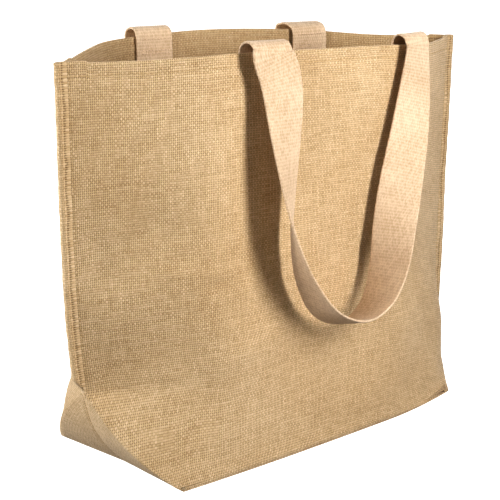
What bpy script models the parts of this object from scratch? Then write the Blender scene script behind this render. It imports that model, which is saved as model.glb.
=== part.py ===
"""Jute tote bag with boxed base corners and two webbing handles.

Lengths are in millimetres and are scaled to metres when a mesh is made.  X runs along the
front panel, the front faces -Y, Z is up.  The cloth is described by its own flat
coordinates: a column runs across a panel and a height runs up the cloth from the floor edge.
Below the top of a boxed corner every ring of cloth is front, side triangle, back, side
triangle; above it the two panels meet in a pinched side seam.
"""
import math

import bmesh
import bpy
import numpy as np

MM = 0.001
ORIGIN = np.array((6.22, 2.84, 0.0))

# ---- cloth, cut flat ----
FLAT_WIDTH = 482.0
CLOTH_HEIGHT = 348.0
BASE_DEPTH = 162.0
HALF_DEPTH = BASE_DEPTH / 2
BASE_WIDTH = FLAT_WIDTH - BASE_DEPTH
CLOTH = 2.0
HEM_HEIGHT = 26.0
HEM_EXTRA = 1.2
HEM_STEP = 3.0
RIM_CREST = 0.4
MITRE_LIMIT = 0.6
FIN_WIDTH = 8.5
FIN_THICK = 5.0
FIN_FADE = 14.0
FIN_ROUNDNESS = 0.35
FIN_SHOULDER = 0.75
FIN_TAPER = 0.92

# ---- base on the floor ----
BASE_CORNERS = {
    ("front", "left"): ((-174.5, -92.5), (-7.0, 0.0, -4.0)),
    ("front", "right"): ((163.5, -71.0), (2.0, 0.0, -2.0)),
    ("back", "left"): ((-172.0, 81.0), (-7.0, 4.0, 0.0)),
    ("back", "right"): ((156.0, 90.0), (4.0, 2.0, 0.0)),
}
LIFTED_CORNER = (163.5, -71.0)
CORNER_LIFT = 7.0
CORNER_LIFT_REACH = 90.0
FLOOR_INSET = 2.0
EDGE_RISE = 0.9
EDGE_INSET = 0.4
SIDE_TUCK = {"left": 5.0, "right": 8.0}
BASE_BOW = {"front": 2.6, "back": 2.0}
BASE_BOW_MIDDLE = -0.35
BASE_BOW_HEIGHT = 46.0

# ---- webbing ----
WEB_WIDTH = 38.0
WEB_THICK = 2.4
WEB_GAP = 0.35
WEB_MARGIN = 12.0

# Side seam, a row per height: cloth height, seam x and z on the left, then on the right.
SEAM_COLUMNS = ("height", "left_x", "left_z", "right_x", "right_z")
SEAM_ROWS = (
    (81.0, -203.0, 66.0, 214.5, 57.0),
    (130.0, -208.0, 115.0, 217.5, 107.0),
    (200.0, -211.5, 185.0, 219.5, 177.0),
    (270.0, -212.5, 254.0, 222.0, 247.0),
    (348.0, -213.5, 332.0, 226.0, 332.5),
)

# Turn of a panel away from the flat, a row per height: how many degrees the cloth turns
# towards the seam on the left and right of each panel, and how far in from the seam.  Below
# the first row the turn dies away to nothing at the floor.
TURN_COLUMNS = (
    "height", "front_left", "front_left_in", "front_right", "front_right_in",
    "back_left", "back_left_in", "back_right", "back_right_in",
)
TURN_ROWS = (
    (81.0, 40.0, 116.0, 17.0, 142.0, 26.0, 116.0, 26.0, 124.0),
    (150.0, 35.0, 114.0, 26.0, 142.0, 37.0, 114.0, 29.0, 124.0),
    (250.0, 31.0, 110.0, 31.0, 142.0, 40.0, 114.0, 28.0, 124.0),
    (348.0, 27.0, 108.0, 35.0, 142.0, 41.0, 114.0, 28.0, 124.0),
)
TURN_SOFTNESS = 22.0
TURN_BUILD = 0.72
WALL_LEAN = 0.993
SEAM_DROP_SHARPNESS = 2.5

# Extra turn right beside the seams where the boxed corners hold the sides open, in degrees:
# it reaches FLARE_REACH along the cloth and dies out FLARE_HEIGHT above the corner.
SIDE_FLARE = {
    ("front", "left"): 6.0, ("front", "right"): 44.0,
    ("back", "left"): 54.0, ("back", "right"): 28.0,
}
FLARE_REACH = 34.0
FLARE_HEIGHT = 78.0

# The panels between the creases are eased over these heights, up to a level.
SOFTEN_GAPS = (-30.0, -20.0, -10.0, 0.0, 10.0, 20.0, 30.0)
SOFTEN_TOP = 200.0
SOFTEN_IN = 24.0
SOFTEN_OUT = 60.0
SOFTEN_SHARPNESS = 6

# Sag of the rim below a level line, a row per place along it from the left seam (-1) to the
# right seam (1): the front rim and the back rim.
RIM_SAMPLES = 41
RIM_COLUMNS = ("along", "front", "back")
RIM_ROWS = (
    (-1.0, 0.0, 0.0),
    (-0.75, 5.5, 1.5),
    (-0.5, 7.0, 1.5),
    (-0.1, 9.0, -0.5),
    (0.35, 9.0, 2.5),
    (0.7, 8.0, 5.0),
    (1.0, 0.0, 0.0),
)

# Soft folds: which panel, where each starts and ends (along the cloth from its middle line,
# height), how wide it is, and how far it stands out (a trough is negative).
FOLD_FLOOR_FADE = 12.0
FOLD_RIM_FADE = 40.0
FOLD_SEAM_FADE = 12.0
FOLD_COLUMNS = ("panel", "start_u", "start_h", "end_u", "end_h", "width", "rise")
FOLD_ROWS = (
    ("front", -228.0, 86.0, -150.0, 82.0, 46.0, -5.0),
    ("front", -232.0, 79.0, -146.0, 75.0, 9.0, -1.1),
    ("front", -234.0, 182.0, -178.0, 208.0, 42.0, -4.5),
    ("front", -222.0, 150.0, -160.0, 160.0, 30.0, 2.5),
    ("front", -122.0, 158.0, -118.0, 162.0, 9.0, -1.3),
    ("front", -160.0, 172.0, -104.0, 166.0, 10.0, 1.0),
    ("front", -132.0, 90.0, -55.0, 106.0, 16.0, 1.6),
    ("front", -95.0, 150.0, -40.0, 175.0, 14.0, 1.2),
    ("front", -148.0, 26.0, -138.0, 56.0, 20.0, -2.4),
    ("front", 60.0, 40.0, 150.0, 110.0, 40.0, 2.0),
    ("back", -160.0, 90.0, -60.0, 120.0, 26.0, -2.5),
    ("back", 40.0, 190.0, 130.0, 130.0, 30.0, 2.5),
)

# Front handle where it hangs, a row per place along it: the middle of the webbing, the turn
# of its width about Z in degrees (0 outer edge to the left, 90 to the front, 180 to the
# right), and the lift of its front edge in degrees where it lies across.
HANG_COLUMNS = ("x", "y", "z", "turn", "lift")
FRONT_HANG = (
    (-66.0, -77.0, 334.0, -12.0, 0.0),
    (-61.0, -79.0, 318.0, -13.0, 0.0),
    (-58.7, -81.0, 298.0, -6.0, 0.0),
    (-58.3, -84.0, 262.0, 14.0, 0.0),
    (-58.0, -88.0, 222.0, 36.0, 0.0),
    (-56.5, -92.0, 190.0, 54.0, 3.0),
    (-47.5, -96.0, 154.0, 72.0, 8.0),
    (-26.0, -98.0, 122.0, 84.0, 13.0),
    (6.0, -98.5, 108.5, 90.0, 14.0),
    (34.0, -98.0, 120.0, 96.0, 12.0),
    (51.0, -96.0, 148.0, 107.0, 8.0),
    (61.0, -92.0, 182.0, 124.0, 3.0),
    (72.5, -88.0, 219.0, 146.0, 0.0),
    (87.0, -83.5, 262.0, 165.0, 0.0),
    (97.5, -79.0, 302.0, 182.0, 0.0),
    (102.5, -76.5, 331.0, 194.0, 0.0),
)
REAR_HANG = (
    (-75.0, 83.0, 335.0, -4.0, 0.0),
    (-69.0, 88.0, 300.0, -14.0, 0.0),
    (-64.0, 92.0, 262.0, -29.0, 0.0),
    (-59.0, 96.0, 222.0, -43.0, 0.0),
    (-53.0, 100.0, 188.0, -58.0, -3.0),
    (-41.0, 102.5, 153.0, -74.0, -8.0),
    (-16.0, 104.0, 121.0, -86.0, -12.0),
    (14.0, 104.0, 109.0, -90.0, -12.0),
    (43.0, 103.5, 121.0, -95.0, -10.0),
    (64.0, 102.0, 152.0, -108.0, -6.0),
    (77.0, 99.0, 186.0, -124.0, -3.0),
    (86.0, 95.0, 222.0, -139.0, 0.0),
    (93.0, 91.0, 262.0, -153.0, 0.0),
    (97.0, 87.0, 300.0, -166.0, 0.0),
    (99.0, 82.0, 328.0, -176.0, 0.0),
)
SEWN_DEPTH = 40.0
ARCH_RISE = {"front": 9.0, "back": 6.5}
ARCH_SHAPE = 0.8
ARCH_SETTLE = 3.0
ARCH_STEPS = 6
SEWN_DROPS = (SEWN_DEPTH, SEWN_DEPTH * 0.55, 12.0, 3.0)
WEB_ROUNDING = 0.9
WEB_EDGE = 0.35

PANEL_STEPS = 28
FINE = 4
SEAM_STEPS = 6
WALL_HEIGHTS = (
    6.0, 16.0, 30.0, 46.0, 62.0, 74.0, 81.0, 88.0, 96.0, 108.0, 126.0, 148.0, 172.0,
    198.0, 226.0, 256.0, 286.0, 308.0, 322.0, 336.0, 346.6,
)


def smooth(t):
    """Ease from 0 to 1."""
    t = min(1.0, max(0.0, t))
    return t * t * (3.0 - 2.0 * t)


def from_rows(rows, columns, name, at):
    """Smooth value of a named column of a table at a place along its first column."""
    keys = [row[0] for row in rows]
    values = [row[columns.index(name)] for row in rows]
    slopes = np.gradient(values, keys)
    at = min(max(at, keys[0]), keys[-1])
    k = min(int(np.searchsorted(keys, at, side="right")) - 1, len(keys) - 2)
    gap = keys[k + 1] - keys[k]
    t = (at - keys[k]) / gap
    rest = 1.0 - t
    bulge = (slopes[k] * rest - slopes[k + 1] * t) * t * rest * gap
    blend = t * t * (3.0 - 2.0 * t)
    return values[k] * (1.0 - blend) + values[k + 1] * blend + bulge


def words(face, side):
    """Names of a panel and of a side."""
    return ("front" if face < 0 else "back"), ("left" if side < 0 else "right")


def seam_point(side, height):
    """Stitch line of a side seam."""
    name = words(1, side)[1]
    x = from_rows(SEAM_ROWS, SEAM_COLUMNS, name + "_x", height)
    z = from_rows(SEAM_ROWS, SEAM_COLUMNS, name + "_z", height)
    return np.array((x, 0.0, z))


def panel_end(face, side, height):
    """Where a panel ends: on the crease of the boxed corner, or on the side seam."""
    half = np.array((0.0, face * FIN_THICK / 2, 0.0))
    if height >= HALF_DEPTH:
        return seam_point(side, height) + half
    (x, y), bow = BASE_CORNERS[words(face, side)]
    t = height / HALF_DEPTH
    line = np.array((x, y, 0.0)) * (1 - t) + (seam_point(side, HALF_DEPTH) + half) * t
    return line + np.array(bow) * math.sin(math.pi * t)


def fold_rise(face, u, height):
    """Height of the soft folds off the smooth cloth."""
    name = words(face, -1)[0]
    total = 0.0
    for panel, u0, h0, u1, h1, width, rise in FOLD_ROWS:
        if panel == name:
            du = u1 - u0
            dh = h1 - h0
            t = ((u - u0) * du + (height - h0) * dh) / (du * du + dh * dh)
            t = min(1.0, max(0.0, t))
            off = math.hypot(u - u0 - t * du, height - h0 - t * dh)
            total += rise * math.exp(-((off / width) ** 2) * 2.0)
    return total


def plain_curve(face, height, steps):
    """One level of a panel without its folds: points and the flat place of each."""
    cut = max(0.0, HALF_DEPTH - height)
    half = FLAT_WIDTH / 2 - cut
    along = np.linspace(-1.0, 1.0, steps + 1)
    u = along * half
    name = words(face, -1)[0]
    lift = min(1.0, height / HALF_DEPTH) ** TURN_BUILD
    flare = smooth(lift) * smooth(1.0 - (height - HALF_DEPTH) / FLARE_HEIGHT)
    angle = np.zeros(len(u))
    for side in (-1, 1):
        word = words(face, side)[1]
        turn = math.radians(from_rows(TURN_ROWS, TURN_COLUMNS, name + "_" + word, height))
        reach = from_rows(TURN_ROWS, TURN_COLUMNS, name + "_" + word + "_in", height)
        inside = 0.5 * (1 + np.tanh((FLAT_WIDTH / 2 - side * u - reach) / TURN_SOFTNESS))
        beside = np.exp(-(((half - side * u) / FLARE_REACH) ** 2))
        extra = math.radians(SIDE_FLARE[(name, word)]) * flare
        angle -= side * (turn * lift * (1 - inside) + extra * beside)
    step = np.diff(u)
    middle = (angle[1:] + angle[:-1]) / 2
    x = np.concatenate(([0.0], np.cumsum(np.cos(middle) * step)))
    y = face * np.concatenate(([0.0], np.cumsum(np.sin(middle) * step)))
    start = panel_end(face, -1, height)
    end = panel_end(face, 1, height)
    turn = math.atan2(end[1] - start[1], end[0] - start[0]) - math.atan2(y[-1], x[-1])
    grow = math.hypot(*(end - start)[:2]) / math.hypot(x[-1], y[-1])
    px = start[0] + grow * (x * math.cos(turn) - y * math.sin(turn))
    py = start[1] + grow * (x * math.sin(turn) + y * math.cos(turn))
    bow = BASE_BOW[name] * (1 - smooth(height / BASE_BOW_HEIGHT))
    py += face * bow * (1 - along ** 2) * (1 + 2 * BASE_BOW_MIDDLE * along)
    ends = start[2] * (1 - along) / 2 + end[2] * (1 + along) / 2
    edge = np.abs(along) ** SEAM_DROP_SHARPNESS
    pz = height * WALL_LEAN * (1 - edge) + ends * edge
    return np.stack((px, py, pz), axis=1), u


def panel_curve(face, height, steps):
    """One level of a panel, left to right, with its flat coordinate for each point."""
    fine = steps * FINE
    points, u = plain_curve(face, height, fine)
    along = np.linspace(-1.0, 1.0, fine + 1)
    ease = smooth(height / SOFTEN_IN) * smooth((SOFTEN_TOP - height) / SOFTEN_OUT)
    if ease > 0.0:
        near = [max(0.0, height + gap) for gap in SOFTEN_GAPS]
        level = sum(plain_curve(face, h, fine)[0][:, 1] for h in near) / len(near)
        points[:, 1] += (level - points[:, 1]) * ease * (1 - np.abs(along) ** SOFTEN_SHARPNESS)
    name = words(face, -1)[0]
    rim = max(0.0, (height - HALF_DEPTH) / (CLOTH_HEIGHT - HALF_DEPTH))
    places = np.linspace(-1.0, 1.0, RIM_SAMPLES)
    sag = [from_rows(RIM_ROWS, RIM_COLUMNS, name, place) for place in places]
    points[:, 2] -= np.interp(along, places, sag) * rim
    tangent = np.gradient(points[:, :2], axis=0)
    tangent /= np.linalg.norm(tangent, axis=1)[:, None]
    fade = smooth(height / FOLD_FLOOR_FADE) * smooth((CLOTH_HEIGHT - height) / FOLD_RIM_FADE)
    rise = np.array([fold_rise(face, value, height) for value in u]) * fade
    rise *= np.minimum(1.0, (1 - np.abs(along)) * FOLD_SEAM_FADE)
    points[:, 0] -= face * tangent[:, 1] * rise
    points[:, 1] += face * tangent[:, 0] * rise
    return points[::FINE], u[::FINE]


def seam_zone(side, height, outer):
    """Points between the front and the back panel on one side, front to back."""
    front = panel_end(-1, side, height)
    back = panel_end(1, side, height)
    steps = np.linspace(0.0, 1.0, SEAM_STEPS + 1)[1:-1]
    tuck = SIDE_TUCK[words(1, side)[1]] * max(0.0, 1 - height / HALF_DEPTH)
    points = []
    for part in steps:
        point = front * (1 - part) + back * part
        point[0] -= side * tuck * (1 - abs(2 * part - 1))
        points.append(point)
    if not outer:
        return points
    fin = smooth((height - HALF_DEPTH) / FIN_FADE)
    reach = np.sin(math.pi * steps) ** FIN_ROUNDNESS
    reach[[0, -1]] *= FIN_SHOULDER
    for point, out, part in zip(points, reach, steps):
        point[0] += side * FIN_WIDTH * fin * out
        widen = FIN_THICK / 2 * (1 if part > 0.5 else -1) * FIN_TAPER
        if not math.isclose(part, 0.5):
            point[1] += (widen - point[1]) * fin
    return points


def ring(height, outer):
    """Closed level of cloth: front, right side, back, left side."""
    front, front_u = panel_curve(-1, height, PANEL_STEPS)
    back, back_u = panel_curve(1, height, PANEL_STEPS)
    right = seam_zone(1, height, outer)
    left = seam_zone(-1, height, outer)
    return np.array(list(front) + right + list(back[::-1]) + left[::-1])


def shrink(points, amount):
    """Move a closed level inwards by an amount, mitred at its corners."""
    xy = points[:, :2]
    ahead = np.roll(xy, -1, axis=0) - xy
    ahead /= np.maximum(np.linalg.norm(ahead, axis=1), 1e-9)[:, None]
    behind = np.roll(ahead, 1, axis=0)
    normal_a = np.stack((-ahead[:, 1], ahead[:, 0]), axis=1)
    normal_b = np.stack((-behind[:, 1], behind[:, 0]), axis=1)
    mean = normal_a + normal_b
    mean /= np.maximum(np.linalg.norm(mean, axis=1), 1e-9)[:, None]
    spread = np.maximum(np.sum(mean * normal_a, axis=1), MITRE_LIMIT)
    moved = points.copy()
    moved[:, :2] += mean * (amount / spread)[:, None]
    return moved


def seam_slots():
    """Places in a ring that lie strictly between the panels."""
    right = list(range(PANEL_STEPS + 1, PANEL_STEPS + SEAM_STEPS))
    first = 2 * (PANEL_STEPS + 1) + SEAM_STEPS - 1
    left = list(range(first, first + SEAM_STEPS - 1))
    return right, left


def inner_ring(height):
    """Inside face of the cloth at a level."""
    plain = ring(height, False)
    hem = HEM_EXTRA * smooth((height - (CLOTH_HEIGHT - HEM_HEIGHT)) / HEM_STEP)
    moved = shrink(plain, CLOTH + hem)
    if height < HALF_DEPTH:
        return moved
    for slots in seam_slots():
        before = moved[slots[0] - 1]
        after = moved[(slots[-1] + 1) % len(moved)]
        for count, slot in enumerate(slots):
            part = (count + 1) / SEAM_STEPS
            moved[slot] = before * (1 - part) + after * part
    return moved


def lifted(points):
    """Share of the lift of the base corner that is off the floor, for each point."""
    away = np.linalg.norm(points[:, :2] - np.array(LIFTED_CORNER), axis=1)
    return np.clip(1 - away / CORNER_LIFT_REACH, 0.0, 1.0) ** 2


def cloth_rings(outer):
    """All levels of one face of the cloth, from the floor to the rim."""
    make = (lambda h: ring(h, True)) if outer else inner_ring
    floor = make(WALL_HEIGHTS[0])
    flat = ring(0.0, False) if outer else inner_ring(0.0)
    rise = 0.0 if outer else CLOTH
    lift = lifted(flat)
    low = shrink(flat, FLOOR_INSET)
    low[:, 2] = rise + CORNER_LIFT * lift
    edge = shrink(flat, EDGE_INSET)
    edge[:, 2] = low[:, 2] + EDGE_RISE
    levels = [low, edge]
    if not outer:
        floor[:, 2] = np.maximum(floor[:, 2], rise + 2 * EDGE_RISE)
    floor[:, 2] = np.maximum(floor[:, 2], edge[:, 2] + EDGE_RISE * 2)
    levels.append(floor)
    levels += [make(h) for h in WALL_HEIGHTS[1:]]
    return levels


def mesh_object(name, points, faces, material):
    """Object from points in millimetres and faces that look outwards."""
    mesh = bpy.data.meshes.new(name)
    placed = (np.array(points) - ORIGIN) * MM
    mesh.from_pydata([tuple(float(c) for c in p) for p in placed], [], faces)
    shape = bmesh.new()
    shape.from_mesh(mesh)
    bmesh.ops.triangulate(shape, faces=[f for f in shape.faces if len(f.verts) > 4])
    bmesh.ops.recalc_face_normals(shape, faces=shape.faces)
    shape.to_mesh(mesh)
    shape.free()
    for polygon in mesh.polygons:
        polygon.use_smooth = True
    thing = bpy.data.objects.new(name, mesh)
    bpy.context.scene.collection.objects.link(thing)
    mesh.materials.append(material)
    return thing


def material(name, colour, roughness):
    """Plain cloth material."""
    made = bpy.data.materials.new(name)
    made.use_nodes = True
    shader = made.node_tree.nodes["Principled BSDF"]
    shader.inputs["Base Color"].default_value = (*colour, 1.0)
    shader.inputs["Roughness"].default_value = roughness
    return made


def base_rows(level, first, count):
    """Rows of points across one face of the base, and all its rows as point numbers."""
    right, left = seam_slots()
    back = PANEL_STEPS + SEAM_STEPS
    front_line = level[:PANEL_STEPS + 1]
    back_line = level[back:back + PANEL_STEPS + 1][::-1]
    along = np.linspace(0.0, 1.0, PANEL_STEPS + 1)[:, None]
    rise = level[:, 2].min()
    rows = [list(range(first, first + PANEL_STEPS + 1))]
    points = []
    for k, (east, west) in enumerate(zip(right, left[::-1])):
        part = (k + 1) / SEAM_STEPS
        line = front_line * (1 - part) + back_line * part
        line += (level[west] - line[0]) * (1 - along) ** 3 + (level[east] - line[-1]) * along ** 3
        line[:, 2] = rise + CORNER_LIFT * lifted(line)
        number = count + len(points)
        rows.append([first + west] + list(range(number, number + PANEL_STEPS - 1)) + [first + east])
        points += list(line[1:-1])
    rows.append([first + back + k for k in range(PANEL_STEPS + 1)][::-1])
    return points, rows


def build_body(jute):
    """The sewn bag: one closed sheet, outside, rim, inside and base."""
    outer = cloth_rings(True)
    inner = cloth_rings(False)
    crest = (ring(CLOTH_HEIGHT, False) + inner_ring(CLOTH_HEIGHT)) / 2
    fin_crest = ring(CLOTH_HEIGHT, True)
    for slots in seam_slots():
        crest[slots] = (fin_crest[slots] * 2 + crest[slots]) / 3
    crest[:, 2] += RIM_CREST
    levels = outer + [crest] + inner[::-1]
    count = len(crest)
    points = np.concatenate(levels)
    faces = []
    for row in range(len(levels) - 1):
        for place in range(count):
            after = (place + 1) % count
            a = row * count
            b = a + count
            faces.append((a + place, a + after, b + after, b + place))
    for row in (0, len(levels) - 1):
        extra, rows = base_rows(levels[row], row * count, len(points))
        points = np.concatenate((points, extra))
        for near, far in zip(rows, rows[1:]):
            for place in range(PANEL_STEPS):
                faces.append((near[place], near[place + 1], far[place + 1], far[place]))
    return mesh_object("bag_body", points, faces, jute)


def wall_frame(face, x, height):
    """Inside face of the hem at a place: point, direction along the wall, way into the bag."""
    level = inner_ring(height)
    panel = level[:PANEL_STEPS + 1]
    if face > 0:
        first = PANEL_STEPS + SEAM_STEPS
        panel = level[first:first + PANEL_STEPS + 1][::-1]
    order = panel[:, 0]
    reach = WEB_WIDTH / 2
    ends = []
    for place in (x - reach, x + reach, x):
        ends.append(np.array([np.interp(place, order, panel[:, k]) for k in range(3)]))
    along = ends[1] - ends[0]
    along[2] = 0.0
    along /= np.linalg.norm(along)
    inward = np.array((along[1], -along[0], 0.0)) * face
    inside = panel[np.abs(order - x) < reach + WEB_MARGIN]
    most = max(float(np.dot(p[:2] - ends[2][:2], inward[:2])) for p in inside)
    return ends[2], along, inward, most


def handle_stations(face, hang):
    """Middle points and width directions of a handle from one sewn end to the other."""
    stations = []
    rise = ARCH_RISE[words(face, 1)[0]]
    for end_row, way in ((hang[0], 1), (hang[-1], -1)):
        x = end_row[0]
        part = []
        for drop in SEWN_DROPS:
            point, along, inward, most = wall_frame(face, x, CLOTH_HEIGHT - drop)
            middle = point + inward * (most + WEB_GAP + WEB_THICK / 2)
            part.append((middle, -along * way))
        rim, along, inward, most = wall_frame(face, x, CLOTH_HEIGHT)
        out = np.array((end_row[0], end_row[1], 0.0)) - np.array((rim[0], rim[1], 0.0))
        start = part[-1][0]
        finish = np.array(end_row[:3])
        for count in range(1, ARCH_STEPS):
            angle = math.pi * count / ARCH_STEPS
            across = (1 - math.cos(angle)) / 2
            point = start * (1 - across) + finish * across
            point[2] = rim[2] + rise * math.sin(angle) ** ARCH_SHAPE
            point[2] -= (1 - math.sin(angle)) * ARCH_SETTLE
            part.append((point, -along * way))
        stations.append(part)
    middle = []
    for x, y, z, turn, lift in hang:
        angle = math.radians(turn)
        edge = np.array((-math.cos(angle), -math.sin(angle), math.sin(math.radians(lift))))
        middle.append((np.array((x, y, z)), edge / np.linalg.norm(edge)))
    return stations[0] + middle + stations[1][::-1]


def curve_through(values, steps):
    """Smooth run of points through given ones (Catmull-Rom)."""
    values = [np.asarray(v, dtype=float) for v in values]
    padded = [2 * values[0] - values[1]] + values + [2 * values[-1] - values[-2]]
    run = []
    for k in range(1, len(padded) - 2):
        for count in range(steps):
            t = count / steps
            a, b, c, d = padded[k - 1:k + 3]
            run.append(0.5 * (2 * b + (c - a) * t + (2 * a - 5 * b + 4 * c - d) * t ** 2
                              + (3 * b - a - 3 * c + d) * t ** 3))
    run.append(values[-1])
    return run


def build_handle(name, face, hang, cotton):
    """Webbing swept along its run with a thin rounded section."""
    stations = handle_stations(face, hang)
    centres = curve_through([s[0] for s in stations], 2)
    edges = curve_through([s[1] for s in stations], 2)
    half = WEB_WIDTH / 2
    thin = WEB_THICK / 2
    side = half - WEB_ROUNDING
    lip = thin * WEB_EDGE
    section = (
        (-side, -thin), (side, -thin), (half, -lip), (half, lip),
        (side, thin), (-side, thin), (-half, lip), (-half, -lip),
    )
    points = []
    for k, (centre, edge) in enumerate(zip(centres, edges)):
        ahead = centres[min(k + 1, len(centres) - 1)] - centres[max(k - 1, 0)]
        ahead /= np.linalg.norm(ahead)
        wide = edge - ahead * float(np.dot(edge, ahead))
        wide /= np.linalg.norm(wide)
        out = np.cross(ahead, wide)
        for across, through in section:
            points.append(centre + wide * across + out * through)
    count = len(section)
    faces = []
    for k in range(len(centres) - 1):
        for place in range(count):
            after = (place + 1) % count
            a = k * count
            b = a + count
            faces.append((a + place, a + after, b + after, b + place))
    last = (len(centres) - 1) * count
    faces.append(tuple(range(count))[::-1])
    faces.append(tuple(range(last, last + count)))
    return mesh_object(name, points, faces, cotton)


for old in list(bpy.data.objects):
    bpy.data.objects.remove(old, do_unlink=True)

jute_cloth = material("jute", (0.62, 0.42, 0.22), 0.9)
cotton_web = material("cotton_webbing", (0.85, 0.68, 0.48), 0.85)
build_body(jute_cloth)
build_handle("handle_front", -1, FRONT_HANG, cotton_web)
build_handle("handle_rear", 1, REAR_HANG, cotton_web)
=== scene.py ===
"""Jute tote bag: woven cloth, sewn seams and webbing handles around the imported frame."""
import functools
import random
from math import atan2, cos, exp, hypot, pi, radians, sin

import bmesh
import bpy
import numpy as np
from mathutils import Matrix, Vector, noise
from numpy.linalg import norm


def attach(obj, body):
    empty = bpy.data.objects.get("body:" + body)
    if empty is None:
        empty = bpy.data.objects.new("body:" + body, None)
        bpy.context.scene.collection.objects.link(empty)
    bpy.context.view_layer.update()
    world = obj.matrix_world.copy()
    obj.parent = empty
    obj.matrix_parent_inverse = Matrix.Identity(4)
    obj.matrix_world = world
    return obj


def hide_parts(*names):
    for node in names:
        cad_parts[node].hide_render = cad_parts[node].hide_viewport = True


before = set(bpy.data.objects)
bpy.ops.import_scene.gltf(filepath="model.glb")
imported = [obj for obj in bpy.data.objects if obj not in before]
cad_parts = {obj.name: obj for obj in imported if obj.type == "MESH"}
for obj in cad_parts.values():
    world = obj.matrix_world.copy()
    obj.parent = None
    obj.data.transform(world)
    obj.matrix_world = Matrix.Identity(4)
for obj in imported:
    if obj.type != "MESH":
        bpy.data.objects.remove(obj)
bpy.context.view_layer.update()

scene = bpy.context.scene
MM = 0.001
ORIGIN = np.array((6.22, 2.84, 0))

# ---- cloth, cut flat ----
FLAT_WIDTH = 482
CLOTH_HEIGHT = 348
BASE_DEPTH = 162
HALF_DEPTH = BASE_DEPTH / 2
BASE_WIDTH = FLAT_WIDTH - BASE_DEPTH
CLOTH = 2
HEM_HEIGHT = 26
HEM_EXTRA = 1.2
HEM_STEP = 3
MITRE_LIMIT = 0.6
FIN_WIDTH = 8.5
FIN_THICK = 5
FIN_FADE = 14
FIN_ROUNDNESS = 0.35
FIN_SHOULDER = 0.85
FIN_CORE = 0.4
FIN_STEEP = 14
FIN_TAPER = 0.92

# ---- base on the floor ----
BASE_CORNERS = {
    ("front", "left"): ((-174.5, -92.5), (-7, 0, -4)),
    ("front", "right"): ((163.5, -71), (2, 0, -2)),
    ("back", "left"): ((-172, 81), (-7, 4, 0)),
    ("back", "right"): ((156, 90), (4, 2, 0)),
}
LIFTED_CORNER = (163.5, -71)
CORNER_LIFT = 7
CORNER_LIFT_REACH = 90
FLOOR_INSET = 2
EDGE_RISE = 0.9
EDGE_INSET = 0.4
EDGE_HEIGHT = 0.5
LEAST_RISE = 0.45
SIDE_TUCK = {"left": 5, "right": 8.0}
BASE_BOW = {"front": 2.6, "back": 2.0}
BASE_BOW_MIDDLE = -0.35
BASE_BOW_HEIGHT = 46

# ---- webbing ----
WEB_WIDTH = 38
WEB_THICK = 2.4
WEB_GAP = 0.35
WEB_MARGIN = 12

# Side seam, a row per height: cloth height, seam x and z on the left, then on the right.
SEAM_ROWS = (
    ("height", "left_x", "left_z", "right_x", "right_z"),
    (81, -203, 66, 214.5, 57),
    (130, -208, 115, 217.5, 107),
    (200, -211.5, 185, 219.5, 177),
    (270, -212.5, 254, 222, 247),
    (348, -213.5, 332, 226, 332.5),
)

# Turn of a panel away from the flat, a row per height: how many degrees the cloth turns
# towards the seam on the left and right of each panel, and how far in from the seam.  Below
# the first row the turn dies away to nothing at the floor.
TURN_ROWS = (
    ("height", "front_left", "front_left_in", "front_right", "front_right_in",
     "back_left", "back_left_in", "back_right", "back_right_in"),
    (81, 40, 116, 17, 142, 26, 116, 26, 124),
    (150, 35, 114, 26, 142, 37, 114, 29, 124),
    (250, 31, 110, 31, 142, 40, 114, 28, 124),
    (348, 27, 108, 35, 142, 41, 114, 28, 124),
)
TURN_SOFTNESS = 22
TURN_BUILD = 0.72
WALL_LEAN = 0.993
SEAM_DROP_SHARPNESS = 2.5

# Extra turn right beside the seams where the boxed corners hold the sides open, in degrees:
# it reaches FLARE_REACH along the cloth and dies out FLARE_HEIGHT above the corner.
SIDE_FLARE = {
    ("front", "left"): 6, ("front", "right"): 44,
    ("back", "left"): 54, ("back", "right"): 28,
}
FLARE_REACH = 34
FLARE_HEIGHT = 78

# The panels between the creases are eased over these heights, up to a level.
SOFTEN_GAPS = (-30, -20, -10, 0, 10, 20, 30)
SOFTEN_TOP = 200
SOFTEN_IN = 24
SOFTEN_OUT = 60
SOFTEN_SHARPNESS = 6

# Sag of the rim below a level line, a row per place along it from the left seam (-1) to the
# right seam (1): the front rim and the back rim.
RIM_SAMPLES = 41
RIM_ROWS = (
    ("along", "front", "back"),
    (-1, 0, 0),
    (-0.75, 5.5, 1.5),
    (-0.5, 7, 1.5),
    (-0.1, 9, -0.5),
    (0.35, 9, 2.5),
    (0.7, 8, 5),
    (1, 0, 0),
)

# Soft folds: which panel, where each starts and ends (along the cloth from its middle line,
# height), how wide it is, and how far it stands out (a trough is negative).
FOLD_FLOOR_FADE = 12
FOLD_RIM_FADE = 40
FOLD_SEAM_FADE = 12
FOLD_ROWS = (
    ("front", -228, 86, -150, 82, 46, -5),
    ("front", -232, 79, -146, 75, 9, -1.1),
    ("front", -234, 182, -178, 208, 42, -4.5),
    ("front", -222, 150, -160, 160, 30, 2.5),
    ("front", -122, 158, -118, 162, 9, -1.3),
    ("front", -160, 172, -104, 166, 10, 1),
    ("front", -132, 90, -55, 106, 16, 1.6),
    ("front", -95, 150, -40, 175, 14, 1.2),
    ("front", -148, 26, -138, 56, 20, -2.4),
    ("front", 60, 40, 150, 110, 40, 2),
    ("back", -160, 90, -60, 120, 26, -2.5),
    ("back", 40, 190, 130, 130, 30, 2.5),
)

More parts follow.
